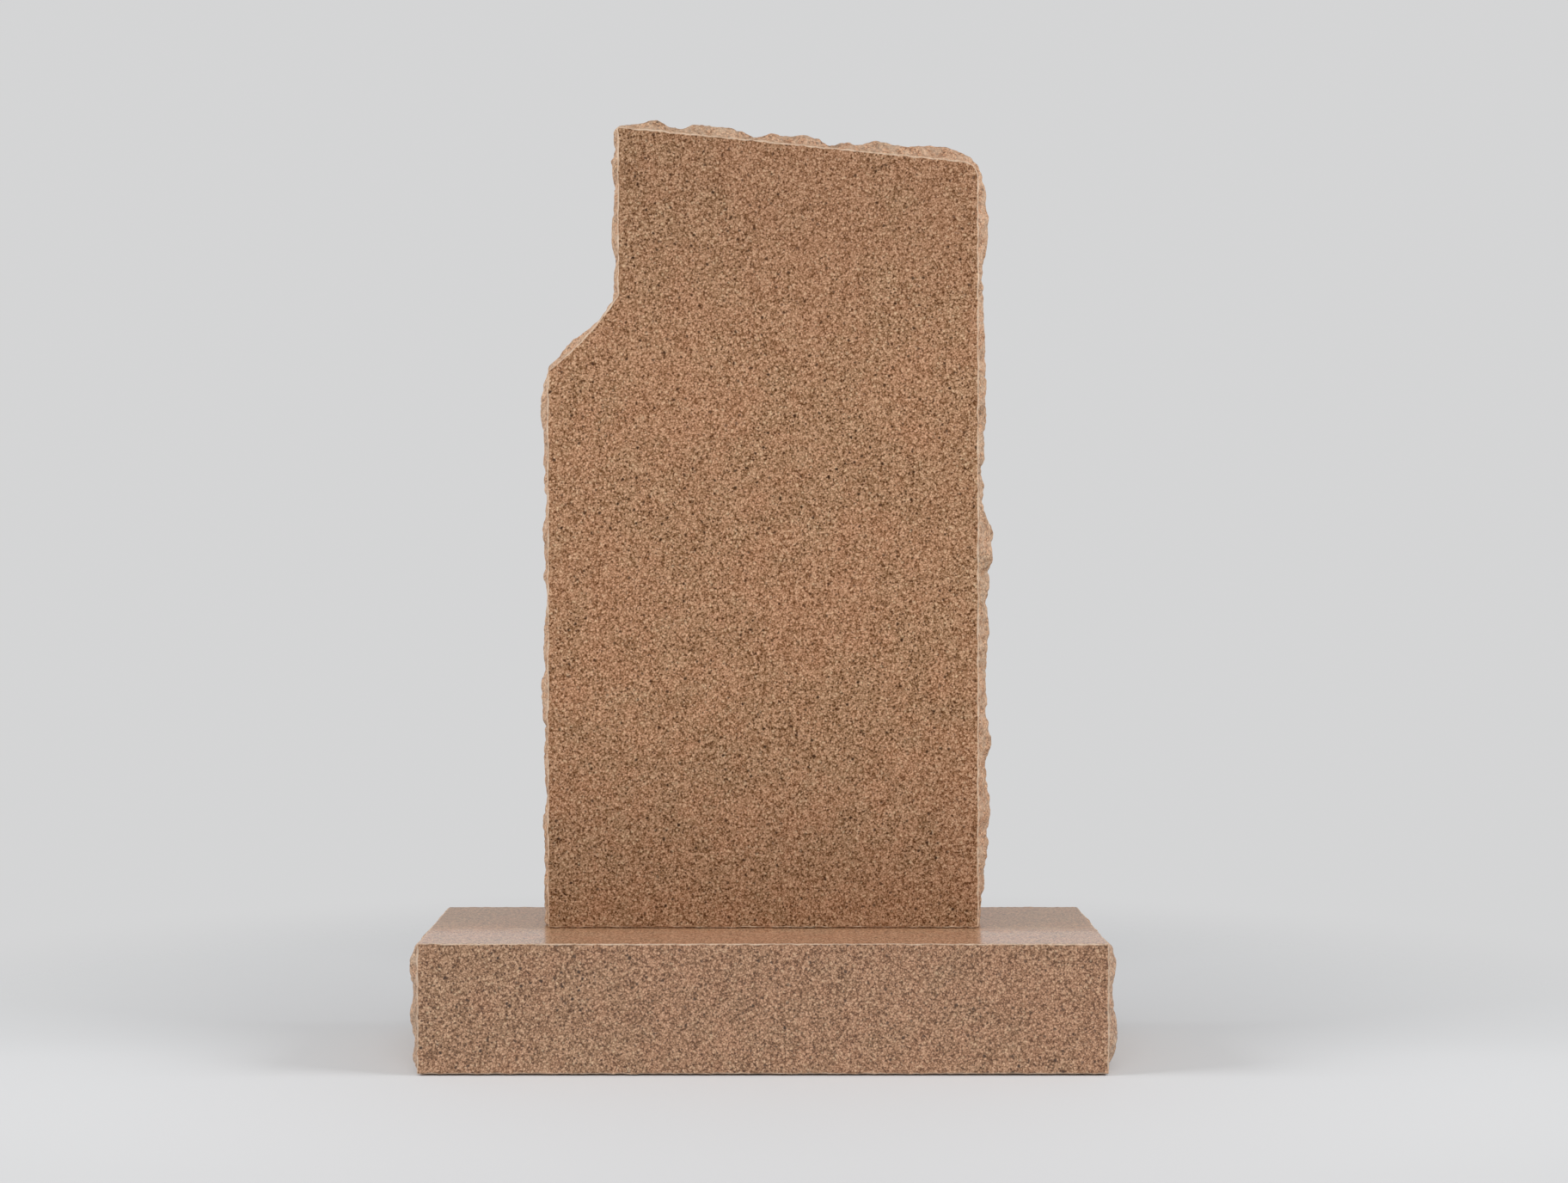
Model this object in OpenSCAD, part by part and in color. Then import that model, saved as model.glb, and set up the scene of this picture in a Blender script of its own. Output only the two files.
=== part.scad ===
// Granite grave marker: an upright tablet with a cut-away shoulder, standing on a wide base.
// The faces of both stones are sawn flat. The edges of the tablet and the ends of the base
// are rock pitched: they swell outwards from a straight arris in shallow, shell-shaped blows.
// X runs across the front, Y runs to the back and Z runs up. The origin is the middle of
// the base's underside, and all lengths are in millimetres.

/* [Base] */
// Width of the base between the arrises of its ends
base_w = 760; // [620:5:1200]
// Depth of the base from front to back
base_d = 305; // [250:5:450]
// Height of the base
base_h = 145; // [80:5:250]

/* [Tablet] */
// Width of the tablet between the arrises of its sides
tablet_w = 492; // [360:2:600]
// Height of the tablet at its upper left corner
tablet_h = 916; // [700:2:1200]
// Thickness of the tablet
tablet_t = 100; // [60:2:150]
// Depth of the ledge that the base leaves in front of the tablet
ledge_d = 121; // [40:1:150]
// Fall of the sloping top from its left end to its right end
top_fall = 41; // [10:1:120]
// Width of the blunted upper right corner
corner_w = 12; // [4:1:40]

/* [Notch] */
// Width of the notch at the upper left
notch_w = 80; // [30:1:150]
// Height of the upright edge beside the notch
notch_h = 193; // [120:1:300]
// Height of the sloping shoulder below that edge
shoulder_h = 86; // [30:1:160]
// Depth to which the shoulder is hollowed
shoulder_sag = 5; // [0:1:12]

/* [Rock pitching] */
// Distance from an arris at which a pitched surface reaches its full swell
pitch_rise = 30; // [15:1:50]
// Usual distance between the middles of two blows
blow_size = 42; // [24:1:90]
// Depth of a blow, as a share of the swell that it cuts into
blow_depth = 0.5; // [0:0.05:0.9]
// Length of one facet
facet = 12; // [10:1:30]

/* [Hidden] */

stone = [0.61, 0.47, 0.36];
base_stone = [0.59, 0.47, 0.37];

// Swell of each pitched edge: how far along it, from 0 to 1, and how far it stands out.
// Each edge is followed anticlockwise, as seen from the front.
base_right_swell = [[0, 0], [0.06, 6], [0.16, 8], [0.3, 8], [0.4, 9], [0.54, 8], [0.66, 9], [0.84, 8],
                    [0.93, 5], [1, 0]];
base_left_swell = [[0, 0], [0.05, 4], [0.14, 7], [0.3, 9], [0.45, 7], [0.6, 7], [0.8, 9], [0.9, 6], [1, 0]];
right_swell = [[0, 4], [0.06, 9], [0.14, 12], [0.2, 14], [0.27, 10], [0.35, 8], [0.44, 15], [0.49, 17],
               [0.54, 12], [0.61, 6], [0.74, 11], [0.84, 6], [0.9, 7], [0.94, 12], [1, 6]];
corner_swell = [[0, 6], [1, 12]];
top_swell = [[0, 12], [0.12, 12], [0.22, 15], [0.38, 8], [0.46, 13], [0.6, 11], [0.72, 14], [0.8, 13],
             [0.89, 15], [0.95, 8], [1, 4]];
notch_swell = [[0, 4], [0.15, 7], [0.35, 4], [0.65, 5], [1, 3]];
shoulder_swell = [[0, 3], [0.4, 3], [0.55, 7], [0.75, 8], [1, 4]];
left_swell = [[0, 4], [0.05, 6], [0.2, 5], [0.3, 4], [0.45, 4], [0.57, 7], [0.7, 4], [0.84, 5], [1, 3]];

blow_seed = [7, 151, 3023];

tablet_front = ledge_d - base_d / 2;
right_h = tablet_h - top_fall;
top_slope = top_fall / (tablet_w - notch_w);
corner_bow = -corner_w / 6;
neck_h = tablet_h - notch_h;

// A side of an outline is [start, end, swell, sag]. A side with no swell stays flat.
foot_left = [-tablet_w / 2, 0];
foot_right = [tablet_w / 2, 0];
corner_low = [tablet_w / 2, right_h - corner_w];
corner_high = [tablet_w / 2 - corner_w, right_h + corner_w * top_slope];
top_left = [notch_w - tablet_w / 2, tablet_h];
neck = [notch_w - tablet_w / 2, neck_h];
shoulder = [-tablet_w / 2, neck_h - shoulder_h];

tablet_sides = [
  [foot_left, foot_right, [], 0],
  [foot_right, corner_low, right_swell, 0],
  [corner_low, corner_high, corner_swell, corner_bow],
  [corner_high, top_left, top_swell, 0],
  [top_left, neck, notch_swell, 0],
  [neck, shoulder, shoulder_swell, shoulder_sag],
  [shoulder, foot_left, left_swell, 0],
];

base_sides = [
  [[-base_w / 2, 0], [base_w / 2, 0], [], 0],
  [[base_w / 2, 0], [base_w / 2, base_h], base_right_swell, 0],
  [[base_w / 2, base_h], [-base_w / 2, base_h], [], 0],
  [[-base_w / 2, base_h], [-base_w / 2, 0], base_left_swell, 0],
];

function unit(v) = v / norm(v);
function pitched(side) = len(side[2]) > 0 ? 1 : 0;
function swell(side, along) = pitched(side) == 1 ? lookup(along, side[2]) : 0;
function outward(side) = let (run = side[1] - side[0]) unit([run[1], -run[0]]);

// A station is [point on the arris, direction of the swell, full swell].
function mid_station(side, along) = [
  side[0] + along * (side[1] - side[0]) - 4 * side[3] * along * (1 - along) * outward(side),
  outward(side),
  swell(side, along),
];

// At a corner the swell points halfway between the two sides, or square to the pitched one.
function corner_station(before, side) = [
  side[0],
  unit(pitched(before) * outward(before) + pitched(side) * outward(side)),
  max(swell(before, 1), swell(side, 0)),
];

function side_steps(side) = pitched(side) == 1 ? ceil(norm(side[1] - side[0]) / facet) : 1;

function stations(sides) = [
  for (k = [0 : len(sides) - 1])
    let (before = sides[(k + len(sides) - 1) % len(sides)], side = sides[k], steps = side_steps(side))
      for (i = [0 : steps - 1])
        i == 0 ? corner_station(before, side) : mid_station(side, i / steps)
];

// The middle of the blow in one cell of a loose grid through the stone. Each cell has its
// own seed, which blow_seed works out from the cell's three numbers.
function blow_middle(cell) = blow_size * (cell + rands(0.1, 0.9, 3, cell * blow_seed));

function nearest_blow(p) =
  let (home = [for (c = p) floor(c / blow_size)])
    min([for (i = [-1 : 1], j = [-1 : 1], k = [-1 : 1]) norm(p - blow_middle(home + [i, j, k]))]);

// A blow is a shallow bowl, and ridges stand where two bowls meet.
function blow(p) = let (away = nearest_blow(p) / blow_size) 1 + blow_depth * (2 * away * away - 0.5);

function rise(d) = d >= pitch_rise ? 1 : sqrt(1 - pow(1 - d / pitch_rise, 2));

function skin_point(station, y, depth) =
  let (arris = [station[0][0], y, station[0][1]],
       out = [station[1][0], 0, station[1][1]])
    arris + out * station[2] * rise(y) * rise(depth - y) * blow(arris);

// A stone of the given outline and depth, with flat faces and pitched sides. The eye is a
// point in the outline that sees all of its sides.
module pitched_stone(sides, eye, depth) {
  ring = stations(sides);
  around = len(ring);
  layers = max(2, ceil(depth / facet));
  row = layers + 1;
  skin = [for (s = ring, j = [0 : layers]) skin_point(s, j * depth / layers, depth)];
  front_eye = len(skin);
  back_eye = front_eye + 1;
  skin_faces = [
    for (i = [0 : around - 1], j = [0 : layers - 1])
      let (a = i * row + j, b = ((i + 1) % around) * row + j)
        each (i + j) % 2 == 0 ? [[a, b, a + 1], [b, b + 1, a + 1]] : [[a, b + 1, a + 1], [a, b, b + 1]]
  ];
  end_faces = [
    for (i = [0 : around - 1])
      let (a = i * row, b = ((i + 1) % around) * row)
        each [[front_eye, b, a], [back_eye, a + layers, b + layers]]
  ];
  rough_block = 2 * (base_w + tablet_h);
  // Cutting the stone out of a larger block joins its level facets into whole flat faces.
  intersection() {
    translate([-rough_block / 2, -rough_block / 2, -rough_block / 2]) cube(rough_block);
    polyhedron(
      points = concat(skin, [[eye[0], 0, eye[1]], [eye[0], depth, eye[1]]]),
      faces = concat(skin_faces, end_faces)
    );
  }
}

module base() {
  color(base_stone)
    translate([0, -base_d / 2, 0])
      pitched_stone(base_sides, [0, base_h / 2], base_d);
}

module tablet() {
  color(stone)
    translate([0, tablet_front, base_h])
      pitched_stone(tablet_sides, [0, tablet_h / 2], tablet_t);
}

base();
tablet();
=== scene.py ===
import math

import bmesh
import bpy
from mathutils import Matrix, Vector


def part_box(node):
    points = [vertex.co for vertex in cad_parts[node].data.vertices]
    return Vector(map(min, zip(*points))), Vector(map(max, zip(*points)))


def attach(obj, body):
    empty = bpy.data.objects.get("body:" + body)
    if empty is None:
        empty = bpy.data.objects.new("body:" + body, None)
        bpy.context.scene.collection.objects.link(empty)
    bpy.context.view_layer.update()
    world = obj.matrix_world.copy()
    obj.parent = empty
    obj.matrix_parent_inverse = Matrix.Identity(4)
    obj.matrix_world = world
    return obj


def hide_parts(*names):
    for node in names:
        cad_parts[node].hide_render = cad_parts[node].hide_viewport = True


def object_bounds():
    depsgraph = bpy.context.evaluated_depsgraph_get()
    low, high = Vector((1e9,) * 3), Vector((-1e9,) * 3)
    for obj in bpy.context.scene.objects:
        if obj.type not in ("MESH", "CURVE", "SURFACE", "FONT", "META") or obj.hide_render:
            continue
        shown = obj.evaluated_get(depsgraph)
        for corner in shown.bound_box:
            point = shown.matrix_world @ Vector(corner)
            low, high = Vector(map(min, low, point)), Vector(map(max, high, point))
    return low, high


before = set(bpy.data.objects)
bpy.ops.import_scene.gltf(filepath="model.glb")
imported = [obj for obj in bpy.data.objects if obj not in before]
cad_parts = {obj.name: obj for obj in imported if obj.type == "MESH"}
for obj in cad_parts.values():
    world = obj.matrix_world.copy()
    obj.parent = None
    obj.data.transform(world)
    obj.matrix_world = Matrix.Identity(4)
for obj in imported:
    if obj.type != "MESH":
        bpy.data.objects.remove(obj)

cadLow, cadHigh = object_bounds()
baseLow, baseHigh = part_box("base")
tabletLow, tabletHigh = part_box("tablet")
bpy.ops.object.select_all(action="DESELECT")
print("frame loaded")

stage = {
    "floorRadius": 9.0,
    "floorSides": 96,
    "fadeFrom": 0.55,  # how far out the floor starts to dissolve into the backdrop
    "fadeTo": 1.5,  # and where it's gone
    "floorTone": (0.668, 0.675, 0.686, 1),
    "backdropTone": (0.662, 0.664, 0.668, 1),
    "skyTone": (1.0, 1.0, 1.0, 1),
    "skyStrength": 0.33,
    "sideReach": 2.2,  # side softboxes, out from the middle
    "sideForward": 0.6,  # and towards the front
    "sideHeight": 1.7,
    "sideSize": 1.3,
    "sidePower": 40,
    "frontReach": 3.3,
    "frontHeight": 2.75,
    "frontSize": 2.2,
    "frontPower": 34.5,
}

viewpoint = {
    "distance": 3.02,  # from the base's front face
    "height": 0.587,
    "lens": 63.1,
    "shiftX": 0.0134,
    "shiftY": -0.0318,
}


slack = 1e-4  # places closer than this count as the same


def near(a, b, within=slack):
    return abs(a - b) < within


# a number or vector that flows between shader nodes; sums on it add Math nodes
class Wire:
    def __init__(self, finish, socket):
        self.finish = finish
        self.socket = socket

    def maths(self, operation, *values):
        places = {place: value for place, value in enumerate(values)}
        return self.finish.node("Math", {"operation": operation}, places)

    def __add__(self, other):
        return self.maths("ADD", self, other)

    def __radd__(self, other):
        return self.maths("ADD", other, self)

    def __sub__(self, other):
        return self.maths("SUBTRACT", self, other)

    def __rsub__(self, other):
        return self.maths("SUBTRACT", other, self)

    def __mul__(self, other):
        return self.maths("MULTIPLY", self, other)

    def __rmul__(self, other):
        return self.maths("MULTIPLY", other, self)

    def out(self, name):
        return Wire(self.finish, self.socket.node.outputs[name])


class Finish:
    def __init__(self, owner):
        owner.use_nodes = True
        self.tree = owner.node_tree
        self.tree.nodes.clear()

    # settings are set before the sockets are filled, because they can change which sockets there are
    def node(self, kind, settings=None, sockets=None, output=0):
        made = self.tree.nodes.new("ShaderNode" + kind)
        for name, value in (settings or {}).items():
            if name == "stops":
                self.setStops(made.color_ramp, value)
            else:
                setattr(made, name, value)
        for place, value in (sockets or {}).items():
            if isinstance(value, Wire):
                self.tree.links.new(value.socket, made.inputs[place])
            else:
                made.inputs[place].default_value = value
        return Wire(self, made.outputs[output]) if made.outputs else made

    def setStops(self, ramp, stops):
        while len(ramp.elements) < len(stops):
            ramp.elements.new(0.5)
        for element, (position, tone) in zip(ramp.elements, stops):
            element.position = position
            element.color = tone if isinstance(tone, tuple) else (tone, tone, tone, 1)

    # a smooth 0 to 1 step as value goes from low to high
    def step(self, value, low, high):
        return self.node(
            "MapRange",
            {"interpolation_type": "SMOOTHSTEP"},
            {"Value": value, "From Min": low, "From Max": high},
        )

    def clouds(self, place, size, detail):
        return self.node(
            "TexNoise", {}, {"Vector": place, "Scale": 1 / size, "Detail": detail, "Roughness": 0.6}
        )

    def mix(self, amount, first, second, blend="MIX"):
        return self.node(
            "Mix",
            {"data_type": "RGBA", "blend_type": blend},
            {"Factor": amount, 6: first, 7: second},
            output=2,
        )


def tone(red, green, blue):
    # an sRGB colour of 0 to 255 as the linear colour that a shader takes
    def linear(value):
        value = value / 255
        return value / 12.92 if value <= 0.04045 else ((value + 0.055) / 1.055) ** 2.4

    return (linear(red), linear(green), linear(blue), 1)


# what every face of the two stones shares
granite = {
    "gridAxis": (0.48, 0.60, 0.64),  # turns the textures' own grid away from every sawn face
    "gridTurn": 0.9,
    "crystalSize": 0.0023,
    "crystalBend": 0.0012,  # how far a crystal's border wanders
    "bendsPerCrystal": 0.9,
    "crystalContrast": 0.43,
    "rimContrast": 0.66,
    "grainSize": 0.0013,
    "grainContrast": 1.42,
    "minerals": [  # from the darkest crystals to the palest
        (0.00, tone(92, 55, 25)),
        (0.20, tone(126, 88, 56)),
        (0.36, tone(159, 120, 87)),
        (0.50, tone(182, 142, 109)),
        (0.66, tone(201, 161, 128)),
        (0.84, tone(220, 181, 148)),
        (1.00, tone(236, 202, 170)),
    ],
    "specks": [  # brown mica, dark pits and pale flecks
        {"spacing": 0.0042, "radius": 0.0016, "share": 1.10, "strength": 0.86, "tone": tone(84, 46, 18)},
        {"spacing": 0.0105, "radius": 0.0024, "share": 0.75, "strength": 0.85, "tone": tone(56, 27, 4)},
        {"spacing": 0.0054, "radius": 0.0017, "share": 0.75, "strength": 0.62, "tone": tone(238, 210, 174)},
    ],
    "speckCore": 0.45,  # the part of its radius within which a speck is solid
    "shareFade": 0.5,
    "crowding": 1.15,  # how strong the specks are in a dull patch
    "thinning": 0.3,  # and how much weaker in a bright one
    "patchSize": 0.20,
    "cloudSize": 0.028,
    "leanFrom": 0.38,  # where a patch turns from olive to orange
    "leanTo": 0.62,
    "bruiseSize": 0.009,
    "bruiseFrom": 0.30,
    "bruiseTo": 0.70,
    "orange": tone(201, 132, 92),
    "olive": tone(150, 131, 92),
    "freshBreak": tone(217, 191, 166),
}

# the tablet's stone is warm, the base's block a little greyer
casts = {"tablet": (0.0, tone(150, 140, 130)), "base": (0.14, tone(152, 146, 142))}

# how much each finish differs from the plain stone
sawn = {
    "gloss": 0.15,
    "pale": 0.0,  # how much of the stone is freshly broken
    "bruising": 0.0,  # and how unevenly
    "contrast": 1.0,
    "mottle": 0.16,
    "roughness": 0.5,
    "bump": 0.10,
    "relief": 0.0003,
}
pitched = {
    "gloss": 0.2,
    "pale": 0.37,
    "bruising": 0.45,
    "contrast": 1.15,
    "mottle": 0.24,
    "roughness": 0.7,
    "bump": 0.7,
    "relief": 0.0012,
}
arris = {
    "gloss": 0.3,
    "pale": 0.74,
    "bruising": 0.5,
    "contrast": 0.7,
    "mottle": 0.1,
    "roughness": 0.6,
    "bump": 0.4,
    "relief": 0.0006,
}
polished = {
    "gloss": 0.28,
    "pale": 0.0,
    "bruising": 0.0,
    "contrast": 0.8,
    "mottle": 0.2,
    "roughness": 0.2,
    "bump": 0.0,
    "relief": 0.0003,
}


def graniteFinish(name, look, cast, shadeAndDarkening=()):
    roughness = look["roughness"]
    contrast = look["contrast"] / (1 - cast[0])  # the cast flattens the grain by as much
    material = bpy.data.materials.new(name)
    shader = Finish(material)
    stand = shader.node("TexCoord", output="Object")
    place = shader.node(
        "VectorRotate", {}, {"Vector": stand, "Axis": granite["gridAxis"], "Angle": granite["gridTurn"]}
    )

    # crystals: cells of one mineral each, with bent borders
    bend = shader.node(
        "TexNoise",
        {},
        {"Vector": place, "Scale": granite["bendsPerCrystal"] / granite["crystalSize"], "Detail": 1.0},
        output="Color",
    )
    bend = shader.node("VectorMath", {"operation": "SUBTRACT"}, {0: bend, 1: (0.5, 0.5, 0.5)})
    bend = shader.node("VectorMath", {"operation": "SCALE"}, {0: bend, "Scale": granite["crystalBend"] * 2})
    bent = shader.node("VectorMath", {"operation": "ADD"}, {0: place, 1: bend})
    crystals = shader.node("TexVoronoi", {}, {"Vector": bent, "Scale": 1 / granite["crystalSize"]})
    mineral = shader.node("SeparateColor", {}, {0: crystals.out("Color")})
    grain = shader.node("TexNoise", {}, {"Vector": place, "Scale": 1 / granite["grainSize"], "Detail": 2.0})
    mineral = (mineral - 0.5) * granite["crystalContrast"] + (grain - 0.5) * granite["grainContrast"]
    mineral = mineral + (0.5 - crystals) * granite["rimContrast"]
    mineral = 0.5 + mineral * contrast
    colour = shader.node("ValToRGB", {"stops": granite["minerals"]}, {0: mineral})

    patches = shader.clouds(place, granite["patchSize"], 3.0)
    clouds = shader.clouds(place, granite["cloudSize"], 3.0)
    lean = shader.step(patches * 0.5 + clouds * 0.5, granite["leanFrom"], granite["leanTo"])

    # specks of other minerals, which crowd together in the duller patches
    crowding = (granite["crowding"] - lean * granite["thinning"]) * look["contrast"]
    for speck in granite["specks"]:
        size = speck["radius"] / speck["spacing"]
        cells = shader.node("TexVoronoi", {}, {"Vector": bent, "Scale": 1 / speck["spacing"]})
        draw = shader.node("SeparateColor", {}, {0: cells.out("Color")})
        inside = shader.step(cells, size, size * granite["speckCore"])
        chosen = shader.step(draw, speck["share"], speck["share"] * granite["shareFade"])
        colour = shader.mix(inside * chosen * crowding * speck["strength"], colour, speck["tone"])

    # broad patches that lean to orange or to olive
    tint = shader.mix(lean, granite["olive"], granite["orange"])
    colour = shader.mix(look["mottle"], colour, tint, "OVERLAY")
    # where the stone is freshly broken or bruised by the tool, it's paler
    bruise = shader.step(
        shader.clouds(place, granite["bruiseSize"], 2.0), granite["bruiseFrom"], granite["bruiseTo"]
    )
    bruise = look["pale"] + (bruise - 0.5) * look["bruising"]
    colour = shader.mix(bruise, colour, granite["freshBreak"])
    colour = shader.mix(cast[0], colour, cast[1])
    # painted shade and other darkening: the colour multiplied darker along an axis, the roughness raised
    for darkening in shadeAndDarkening:
        along = shader.node("SeparateXYZ", {}, {0: stand}, output=darkening["axis"])
        darkened = shader.step(along + (clouds - 0.5) * darkening["drift"], darkening["from"], darkening["to"])
        colour = shader.mix(darkened * darkening["strength"], colour, darkening["tone"], "MULTIPLY")
        roughness = roughness + darkened * darkening["dulling"]

    bumpy = shader.node(
        "Bump", {}, {"Strength": look["bump"], "Distance": look["relief"], "Height": mineral + clouds}
    )
    skin = shader.node(
        "BsdfPrincipled",
        {},
        {
            "Base Color": colour,
            "Roughness": roughness,
            "Specular IOR Level": look["gloss"],
            "Normal": bumpy,
        },
    )
    shader.node("OutputMaterial", {}, {"Surface": skin})
    return material


def pick(piece, kind, test):
    # selects the vertices, edges or faces that pass the test, in edit mode
    bpy.ops.mesh.select_mode(type=kind)
    bpy.ops.mesh.select_all(action="DESELECT")
    mesh = bmesh.from_edit_mesh(piece.data)
    parts = {"VERT": mesh.verts, "EDGE": mesh.edges, "FACE": mesh.faces}[kind]
    for part in parts:
        if test(part):
            part.select_set(True)
    mesh.select_flush_mode()
    bmesh.update_edit_mesh(piece.data)


def cutEdges(piece, test, spacing, coarseness=40, alike=6e-6):
    # cuts the edges that pass the test into lengths of about the spacing, coarsely first
    for pitch in (spacing * coarseness, spacing):
        mesh = bmesh.from_edit_mesh(piece.data)
        lengths = sorted({round(edge.calc_length(), 5) for edge in mesh.edges if test(edge)})
        for length in lengths:
            if round(length / pitch) > 1:
                pick(piece, "EDGE", lambda edge: test(edge) and near(edge.calc_length(), length, alike))
                bpy.ops.mesh.subdivide(number_cuts=round(length / pitch) - 1)


def paint(piece, slot, test):
    pick(piece, "FACE", test)
    piece.active_material_index = slot
    bpy.ops.object.material_slot_assign()


def weigh(piece, name, weightOf):
    # a vertex group whose weight at each vertex is weightOf(place)
    group = piece.vertex_groups.new(name=name)
    for vertex in piece.data.vertices:
        weight = weightOf(vertex.co)
        if weight > 0:
            group.add([vertex.index], min(weight, 1.0), "REPLACE")


def applyModifier(piece, kind, **settings):
    modifier = piece.modifiers.new(kind.lower(), kind)
    for name, value in settings.items():
        setattr(modifier, name, value)
    bpy.context.view_layer.objects.active = piece
    bpy.ops.object.modifier_apply(modifier=modifier.name)


def texture(name, kind, **settings):
    made = bpy.data.textures.new(name, kind)
    for setting, value in settings.items():
        setattr(made, setting, value)
    return made


# how both stones' rough sides are worked
pitching = {
    "grid": 0.002,  # spacing of the mesh over a pitched side
    "reach": 0.03,  # how far the rock form may lie from the flat side
    "settle": 5,  # rounds of smoothing before the first layer
    "blunt": 2,  # and before each layer of hollows
    "smoothing": 0.5,
    "crest": 0.42,  # where the crests between the hollows level off
    "fadeIn": 0.008,  # how far from the arris the broken texture reaches its full depth
    "arrisWander": 0.0017,
    "wanderSize": 0.010,
    "wanderDepth": 3,
    "arrisBevel": 0.0012,
    "bevelSegments": 2,
    "smoothAngle": 38,
    "rim": 0.0016,  # less than the grid, so that the rim can't fold at a corner
}

# the order of the finishes in a stone's material slots
slotOf = {"sawn": 0, "pitched": 1, "arris": 2, "underside": 3, "polished": 4}


def pitchSides(piece, node, layers, weightOf):
    # brings the flat sides out to the rock form of the CAD stone, then breaks them up
    barely = 1e-5  # the arris itself stays where it is
    weigh(piece, "skin", lambda place: 1.0 if weightOf(place) > barely else 0.0)
    weigh(piece, "broken", lambda place: min(1.0, weightOf(place) / pitching["fadeIn"]))
    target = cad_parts[node]
    applyModifier(
        piece, "SHRINKWRAP", target=target, wrap_method="PROJECT", use_negative_direction=True,
        use_positive_direction=True, project_limit=pitching["reach"], vertex_group="skin",
    )
    smoothing = pitching["smoothing"]
    applyModifier(piece, "SMOOTH", factor=smoothing, iterations=pitching["settle"], vertex_group="skin")
    for name, kind, size, depth, inward in layers:
        pattern = texture(name + piece.name, kind, noise_scale=size)
        if kind == "VORONOI":
            pattern.distance_metric = "DISTANCE_SQUARED"
            # hollows with the crests between them rounded off
            pattern.use_color_ramp = True
            pattern.color_ramp.interpolation = "EASE"
            pattern.color_ramp.elements[1].position = pitching["crest"]
            # the crests left by the layer before are blunted
            applyModifier(
                piece, "SMOOTH", factor=smoothing, iterations=pitching["blunt"], vertex_group="broken"
            )
        applyModifier(
            piece, "DISPLACE", texture=pattern, texture_coords="LOCAL", mid_level=inward,
            strength=depth, vertex_group="broken",
        )


def paintFaces(piece, tests):
    # everything is pitched, apart from the faces that pass a finish's test
    bpy.ops.object.mode_set(mode="EDIT")
    paint(piece, slotOf["pitched"], lambda face: True)
    for name, test in tests.items():
        paint(piece, slotOf[name], test)
    bpy.ops.object.mode_set(mode="OBJECT")


def meetsArris(part):
    # where two finishes meet
    return len({face.material_index for face in part.link_faces}) > 1


def finishArrises(piece):
    # a narrow rim inside each flat face keeps the rest of that face true while its edge is worked
    bpy.ops.object.mode_set(mode="EDIT")
    pick(piece, "FACE", lambda face: face.material_index != slotOf["pitched"])
    bpy.ops.mesh.inset(thickness=pitching["rim"], use_boundary=True, use_individual=True)
    pick(piece, "VERT", meetsArris)
    bpy.ops.object.vertex_group_add()
    piece.vertex_groups.active.name = "arris"
    bpy.ops.object.vertex_group_assign()
    bpy.ops.object.mode_set(mode="OBJECT")
    wander = texture(
        "wander" + piece.name, "CLOUDS", noise_scale=pitching["wanderSize"],
        noise_depth=pitching["wanderDepth"], cloud_type="COLOR",
    )
    applyModifier(
        piece, "DISPLACE", texture=wander, texture_coords="LOCAL", direction="RGB_TO_XYZ", mid_level=0.5,
        strength=pitching["arrisWander"] * 2, vertex_group="arris",
    )
    bpy.ops.object.mode_set(mode="EDIT")
    pick(piece, "EDGE", meetsArris)
    bpy.ops.mesh.bevel(
        offset=pitching["arrisBevel"],
        segments=pitching["bevelSegments"],
        profile=0.5,
        material=slotOf["arris"],
    )
    bpy.ops.object.mode_set(mode="OBJECT")
    bpy.ops.object.shade_smooth_by_angle(angle=math.radians(pitching["smoothAngle"]))
    bpy.ops.object.mode_set(mode="EDIT")
    pick(piece, "FACE", lambda face: len(face.verts) > 4)  # the big flat faces
    bpy.ops.mesh.faces_shade_flat()
    bpy.ops.object.mode_set(mode="OBJECT")


def setDown(piece, low, high, gap, setIn):
    # the underside stands on a pad set in from the arris, so that a thin dark gap shows below the stone
    size = high - low
    middle = (low + high) / 2
    facesDown, wholeFoot = -0.99, 0.02  # the normal's z, and the area in square metres
    bpy.ops.object.mode_set(mode="EDIT")
    pick(piece, "FACE", lambda face: face.normal.z < facesDown and face.calc_area() > wholeFoot)
    bpy.ops.mesh.extrude_region_move(TRANSFORM_OT_translate={"value": (0, 0, 0)})
    bpy.ops.transform.resize(
        value=(1 - 2 * setIn / size.x, 1 - 2 * setIn / size.y, 1),
        center_override=(middle.x, middle.y, low.z + gap),
    )
    bpy.ops.mesh.extrude_region_move(TRANSFORM_OT_translate={"value": (0, 0, -gap)})
    bpy.ops.object.mode_set(mode="OBJECT")


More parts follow.
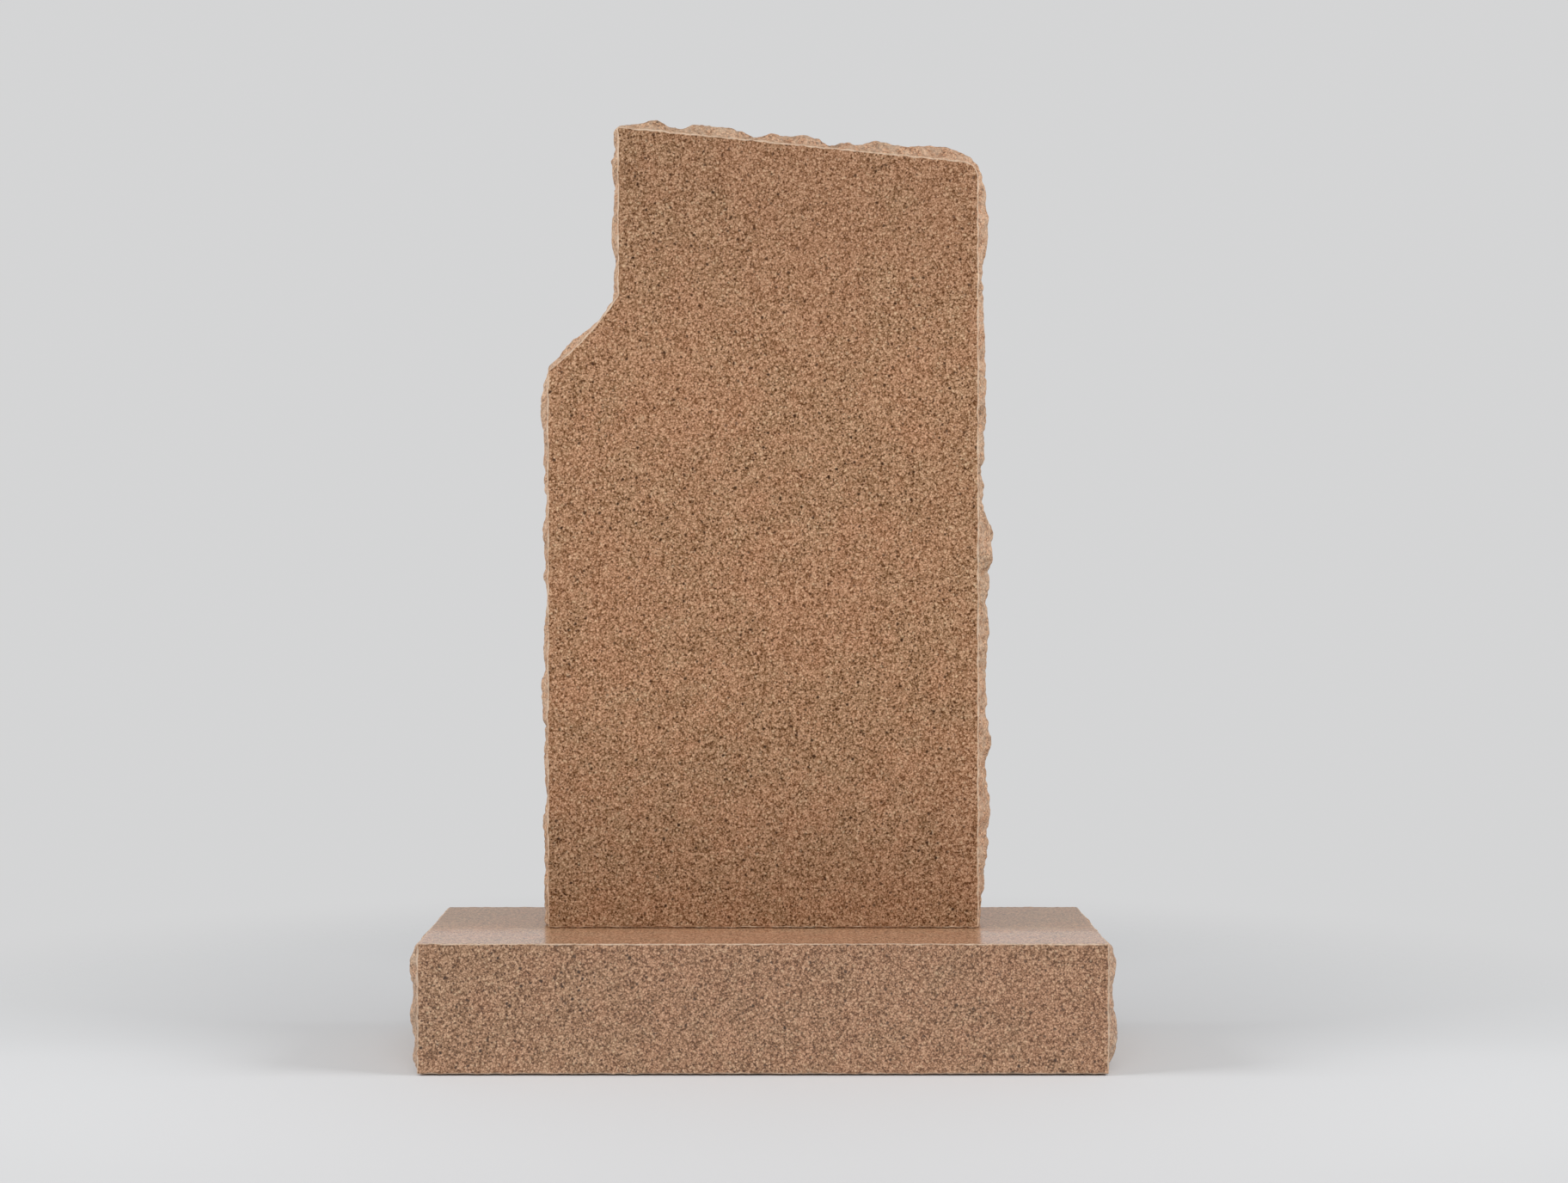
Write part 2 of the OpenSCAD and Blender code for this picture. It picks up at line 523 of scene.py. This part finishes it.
def buildTablet():
    shape = {
        "width": 0.492,
        "height": 0.916,
        "topFall": 0.041,
        "corner": 0.017,
        "cornerSegments": 5,
        "notchWidth": 0.080,
        "notchHeight": 0.193,
        "shoulderHeight": 0.086,
        "shoulderSag": 0.005,
        "shoulderSteps": 8,
        "joint": 0.0012,  # height of the line under the tablet
        "jointDepth": 0.001,
        "layers": [  # name, kind, size, depth and how much of the depth is cut inward
            ("scoops", "VORONOI", 0.038, 0.0070, 0.78),
            ("flakes", "VORONOI", 0.016, 0.0024, 0.80),
            ("spalls", "VORONOI", 0.0080, 0.0012, 0.70),
            ("crumbs", "CLOUDS", 0.0040, 0.0009, 0.50),
        ],
    }
    front, back, foot = tabletLow.y, tabletHigh.y, baseHigh.z
    left, right = -shape["width"] / 2, shape["width"] / 2
    notchX = left + shape["notchWidth"]
    top = foot + shape["height"]
    neck = top - shape["notchHeight"]
    shoulder = neck - shape["shoulderHeight"]

    # the upright part right of the notch, as one face
    bpy.ops.mesh.primitive_plane_add(
        size=1,
        location=((notchX + right) / 2, front, (foot + top) / 2),
        rotation=(math.pi / 2, 0, 0),
    )
    piece = bpy.context.object
    piece.name = piece.data.name = "tabletStone"
    piece.scale = (right - notchX, top - foot, 1)
    bpy.ops.object.transform_apply(location=True, rotation=True, scale=True)
    bpy.ops.object.mode_set(mode="EDIT")
    for height in (shoulder, neck):
        bpy.ops.mesh.select_all(action="SELECT")
        bpy.ops.mesh.bisect(plane_co=(0, front, height), plane_no=(0, 0, 1))
    # the wider part below the shoulder
    pick(
        piece, "EDGE",
        lambda edge: all(near(v.co.x, notchX) and v.co.z < shoulder + slack for v in edge.verts),
    )
    bpy.ops.mesh.extrude_region_move(TRANSFORM_OT_translate={"value": (left - notchX, 0, 0)})
    corners = [(notchX, neck), (notchX, shoulder), (left, shoulder)]
    pick(piece, "VERT", lambda v: any(near(v.co.x, x) and near(v.co.z, z) for x, z in corners))
    bpy.ops.mesh.edge_face_add()
    bpy.ops.mesh.select_mode(type="FACE")
    bpy.ops.mesh.select_all(action="SELECT")
    bpy.ops.mesh.dissolve_faces()
    bpy.ops.mesh.dissolve_limited(angle_limit=math.radians(1))
    # sloping top with its right corner blunted
    pick(piece, "VERT", lambda v: near(v.co.x, right) and near(v.co.z, top))
    bpy.ops.transform.translate(value=(0, 0, -shape["topFall"]))
    bpy.ops.mesh.bevel(
        offset=shape["corner"], affect="VERTICES", segments=shape["cornerSegments"], profile=0.5
    )

    def touches(edge, x, z):
        return any(near(v.co.x, x) and near(v.co.z, z) for v in edge.verts)

    # hollowed shoulder
    pick(piece, "EDGE", lambda edge: touches(edge, notchX, neck) and touches(edge, left, shoulder))
    bpy.ops.mesh.subdivide(number_cuts=shape["shoulderSteps"] - 1)
    along = Vector((notchX - left, 0, neck - shoulder))
    inward = Vector((along.z, 0, -along.x)).normalized()
    for step in range(1, shape["shoulderSteps"]):
        share = step / shape["shoulderSteps"]
        point = Vector((left, front, shoulder)) + along * share
        pick(piece, "VERT", lambda v: (v.co - point).length < slack)
        # the sag is full in the middle of the slope and nothing at its ends
        bpy.ops.transform.translate(value=inward * shape["shoulderSag"] * 4 * share * (1 - share))
    # through to the back
    pick(piece, "FACE", lambda face: True)
    bpy.ops.mesh.extrude_region_move(TRANSFORM_OT_translate={"value": (0, back - front, 0)})
    bpy.ops.mesh.select_all(action="SELECT")
    bpy.ops.mesh.normals_make_consistent(inside=False)

    def onFace(part):
        return all(near(v.co.y, front) for v in part.verts) or all(near(v.co.y, back) for v in part.verts)

    # a fine grid over the sides: cut along the outline, then across the thickness
    cutEdges(piece, onFace, pitching["grid"])
    cutEdges(piece, lambda edge: not onFace(edge), pitching["grid"])
    for side in (front, back):
        pick(piece, "FACE", lambda face: all(near(v.co.y, side) for v in face.verts))
        bpy.ops.mesh.dissolve_faces()
    # the foot stays open until the sides are pitched
    pick(piece, "FACE", lambda face: all(near(v.co.z, foot) for v in face.verts))
    bpy.ops.mesh.delete(type="FACE")
    bpy.ops.mesh.select_all(action="SELECT")
    bpy.ops.object.mode_set(mode="OBJECT")
    for finish in finishes["tablet"].values():
        piece.data.materials.append(finish)

    pitchSides(
        piece, "tablet", shape["layers"],
        lambda place: max(0.0, min(place.y - front, back - place.y)),
    )

    bpy.ops.object.mode_set(mode="EDIT")
    pick(piece, "EDGE", lambda edge: edge.is_boundary)
    bpy.ops.transform.resize(value=(1, 1, 0), center_override=(0, 0, foot + shape["joint"]))
    bpy.ops.mesh.edge_face_add()
    bpy.ops.mesh.select_all(action="SELECT")
    bpy.ops.mesh.normals_make_consistent(inside=False)
    bpy.ops.object.mode_set(mode="OBJECT")
    paintFaces(piece, {
        "sawn": onFace,
        "underside": lambda face: all(near(v.co.z, foot + shape["joint"]) for v in face.verts),
    })
    finishArrises(piece)
    setDown(piece, tabletLow, tabletHigh, shape["joint"], shape["jointDepth"])
    return piece


def buildBase():
    shape = {
        "width": 0.760,  # between the end arrises
        "gap": 0.002,  # height of the dark line under the base
        "gapDepth": 0.010,
        "layers": [  # as the tablet's
            ("scoops", "VORONOI", 0.046, 0.0060, 0.72),
            ("flakes", "VORONOI", 0.016, 0.0026, 0.66),
            ("spalls", "VORONOI", 0.0080, 0.0012, 0.70),
            ("crumbs", "CLOUDS", 0.0040, 0.0009, 0.50),
        ],
    }
    front, back, top = baseLow.y, baseHigh.y, baseHigh.z
    foot, width = shape["gap"], shape["width"]
    bpy.ops.mesh.primitive_cube_add(
        size=1,
        location=(0, (front + back) / 2, (foot + top) / 2),
        scale=(width, back - front, top - foot),
    )
    piece = bpy.context.object
    piece.name = piece.data.name = "baseStone"
    bpy.ops.object.transform_apply(location=True, rotation=True, scale=True)
    for finish in finishes["base"].values():
        piece.data.materials.append(finish)

    def liesAt(axis, place):
        return lambda part: all(near(v.co[axis], place) for v in part.verts)

    def isEnd(part):
        return liesAt(0, width / 2)(part) or liesAt(0, -width / 2)(part)

    def isEndEdge(edge, level):
        # an edge of an end that keeps to one place on the axis
        return isEnd(edge) and near(edge.verts[0].co[level], edge.verts[1].co[level])

    bpy.ops.object.mode_set(mode="EDIT")
    cutEdges(piece, lambda edge: isEndEdge(edge, 2), pitching["grid"])
    cutEdges(piece, lambda edge: isEndEdge(edge, 1), pitching["grid"])

    def isLongArris(edge):
        ends = [v.co for v in edge.verts]
        return (
            not near(ends[0].x, ends[1].x)
            and all(near(end.y, front) or near(end.y, back) for end in ends)
            and all(near(end.z, foot) or near(end.z, top) for end in ends)
        )

    cutEdges(piece, isLongArris, pitching["grid"])
    for axis, place in ((1, front), (1, back), (2, top), (2, foot)):
        pick(piece, "FACE", liesAt(axis, place))
        bpy.ops.mesh.dissolve_faces()
    bpy.ops.object.mode_set(mode="OBJECT")

    pitchSides(
        piece, "base", shape["layers"],
        lambda place: min(place.y - front, back - place.y, place.z - foot, top - place.z)
        if near(abs(place.x), width / 2) else 0.0,
    )
    paintFaces(piece, {
        "sawn": lambda face: liesAt(1, front)(face) or liesAt(1, back)(face),
        "underside": liesAt(2, foot),
        "polished": liesAt(2, top),
    })
    finishArrises(piece)
    setDown(piece, baseLow, baseHigh, foot, shape["gapDepth"])
    return piece


looks = {
    "tablet": {"sawn": sawn, "pitched": pitched, "arris": arris, "underside": sawn},
    "base": {"sawn": sawn, "pitched": pitched, "arris": arris, "underside": sawn, "polished": polished},
}

# painted shade and other darkening that grows along an axis, from one place to another
paintedShadeAndDarkening = {
    "tabletSawn": [
        {  # a little darker towards the foot
            "axis": "Z",
            "from": 0.46,
            "to": 0.18,
            "drift": 0.2,
            "strength": 0.4,
            "tone": tone(200, 207, 211),
            "dulling": 0.0,
        },
        {  # painted shade: darker at the head, against the stronger lamp light there
            "axis": "Z",
            "from": 0.74,
            "to": 1.04,
            "drift": 0.2,
            "strength": 0.4,
            "tone": tone(210, 211, 212),
            "dulling": 0.0,
        },
    ],
    "basePolished": [
        {  # painted shadow of the tablet: darker behind its front, with the polish duller there too
            "axis": "Y",
            "from": -0.08,
            "to": -0.02,
            "drift": 0.05,
            "strength": 0.6,
            "tone": tone(229, 226, 207),
            "dulling": 0.11,
        },
    ],
}


def makeFinishes(stone):
    made = {}
    for kind, look in looks[stone].items():
        name = stone + kind.title()
        made[kind] = graniteFinish(name, look, casts[stone], paintedShadeAndDarkening.get(name, ()))
    return made


finishes = {stone: makeFinishes(stone) for stone in looks}
print("finishes made")

tabletStone = buildTablet()
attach(tabletStone, "root")
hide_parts("tablet")
print("tablet pitched", len(tabletStone.data.polygons))
bpy.ops.object.select_all(action="DESELECT")

baseStone = buildBase()
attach(baseStone, "root")
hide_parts("base")
print("base pitched", len(baseStone.data.polygons))
bpy.ops.object.select_all(action="DESELECT")


def buildStage():
    bpy.ops.mesh.primitive_circle_add(
        vertices=stage["floorSides"], radius=stage["floorRadius"], fill_type="NGON"
    )
    floor = bpy.context.object
    floor.name = floor.data.name = "studioFloor"
    material = bpy.data.materials.new("floorPaper")
    shader = Finish(material)
    place = shader.node("TexCoord", output="Object")
    reach = shader.node("VectorMath", {"operation": "LENGTH"}, {0: place}, output="Value")
    fade = shader.step(reach, stage["fadeFrom"], stage["fadeTo"])
    paper = shader.node("BsdfDiffuse", {}, {"Color": stage["floorTone"]})
    clear = shader.node("BsdfTransparent")
    surface = shader.node("MixShader", {}, {0: fade, 1: paper, 2: clear})
    shader.node("OutputMaterial", {}, {"Surface": surface})
    floor.data.materials.append(material)

    world = bpy.data.worlds.new("studio")
    bpy.context.scene.world = world
    sky = Finish(world)
    path = sky.node("LightPath", output="Is Camera Ray")
    seen = sky.node("Math", {"operation": "MAXIMUM"}, {0: path, 1: path.out("Is Glossy Ray")})
    seen = sky.node("Math", {"operation": "MAXIMUM"}, {0: seen, 1: path.out("Is Transmission Ray")})
    light = sky.node("Background", {}, {"Color": stage["skyTone"], "Strength": stage["skyStrength"]})
    backdrop = sky.node("Background", {}, {"Color": stage["backdropTone"], "Strength": 1.0})
    surface = sky.node("MixShader", {}, {0: seen, 1: light, 2: backdrop})
    sky.node("OutputWorld", {}, {"Surface": surface})


def addSoftbox(name, place, size, power):
    bpy.ops.object.light_add(type="AREA", location=place)
    lamp = bpy.context.object
    lamp.name = name
    lamp.data.shape = "SQUARE"
    lamp.data.size = size
    lamp.data.energy = power
    aim = Vector((0, 0, (cadLow.z + cadHigh.z) / 2)) - lamp.location
    lamp.rotation_euler = aim.to_track_quat("-Z", "Y").to_euler()


buildStage()
for side in (-1, 1):
    place = (side * stage["sideReach"], -stage["sideForward"], stage["sideHeight"])
    addSoftbox("softboxLeft" if side < 0 else "softboxRight", place, stage["sideSize"], stage["sidePower"])
addSoftbox(
    "softboxFront", (0, -stage["frontReach"], stage["frontHeight"]), stage["frontSize"], stage["frontPower"]
)

bpy.ops.object.camera_add(
    location=(0, baseLow.y - viewpoint["distance"], viewpoint["height"]), rotation=(math.pi / 2, 0, 0)
)
camera = bpy.context.object
camera.data.lens = viewpoint["lens"]
camera.data.shift_x = viewpoint["shiftX"]
camera.data.shift_y = viewpoint["shiftY"]
bpy.context.scene.camera = camera
bpy.context.scene.view_settings.view_transform = "Standard"
print("stage and camera set")
